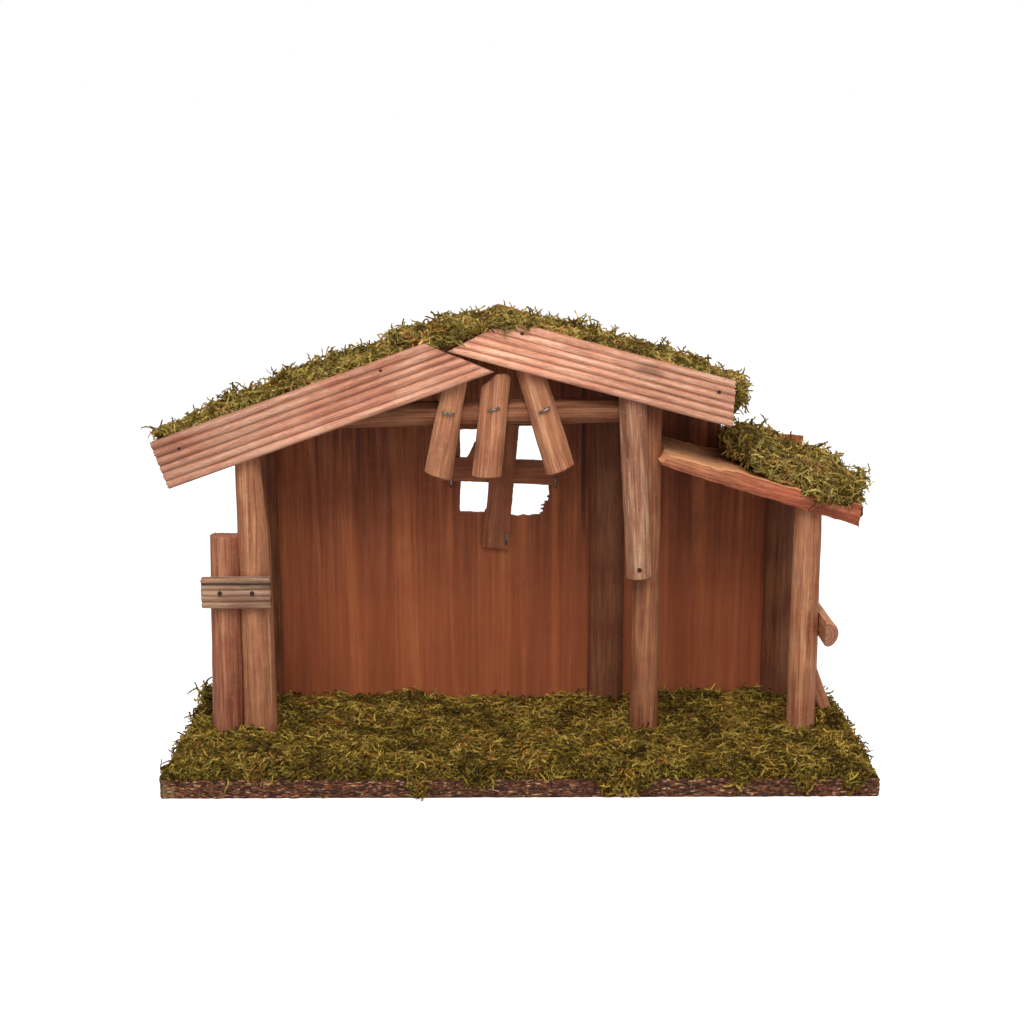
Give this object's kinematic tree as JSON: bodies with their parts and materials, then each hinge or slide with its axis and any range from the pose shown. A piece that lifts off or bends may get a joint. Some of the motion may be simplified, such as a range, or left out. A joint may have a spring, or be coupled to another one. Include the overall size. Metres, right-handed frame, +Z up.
{
  "type": "nativity stable",
  "caption": "Open-fronted wooden nativity stable with a pitched roof, a lean-to, a window with a cross over it, a bit of fence and moss, on a flat base board.",
  "frame": {"origin": "middle of the flat underside of the base board", "axes": "+X to the viewer's right along the front, +Y from the open front to the back wall, +Z up"},
  "size_m": [0.3299, 0.1136, 0.2112],
  "materials": {
    "combed_strip_wood": "dry, combed, lightly stained",
    "stick_wood": "split and stained, matt",
    "plywood": "stained plywood, satin",
    "roof_board_wood": "rough sawn, stained",
    "fibreboard": "coarse pressed fibreboard, matt",
    "moss": "dried moss, matt",
    "steel": "dull wire"
  },
  "bodies": {
    "root": {"base_board": "fibreboard", "ground_moss": "moss", "back_wall": "plywood", "cross_arm": "plywood", "cross_upright": "plywood", "left_front_post": "stick_wood", "middle_front_post": "stick_wood", "right_front_post": "stick_wood", "left_back_post": "stick_wood", "middle_back_post": "stick_wood", "right_back_post": "stick_wood", "front_log": "stick_wood", "tie_beam": "stick_wood", "left_slat": "stick_wood", "centre_slat": "stick_wood", "right_slat": "stick_wood", "left_roof_board": "roof_board_wood", "right_roof_board": "roof_board_wood", "lean_to_board": "roof_board_wood", "left_fascia": "combed_strip_wood", "right_fascia": "combed_strip_wood", "left_roof_moss": "moss", "right_roof_moss": "moss", "lean_to_moss": "moss", "fence_post": "stick_wood", "fence_rail": "combed_strip_wood", "side_rail": "stick_wood", "side_prop": "stick_wood", "base_nails": "steel", "roof_nails": "steel", "fascia_brads": "steel", "rail_brads": "steel", "slat_staples": "steel", "cross_staples": "steel", "wall_staples": "steel"}
  },
  "joints": []
}
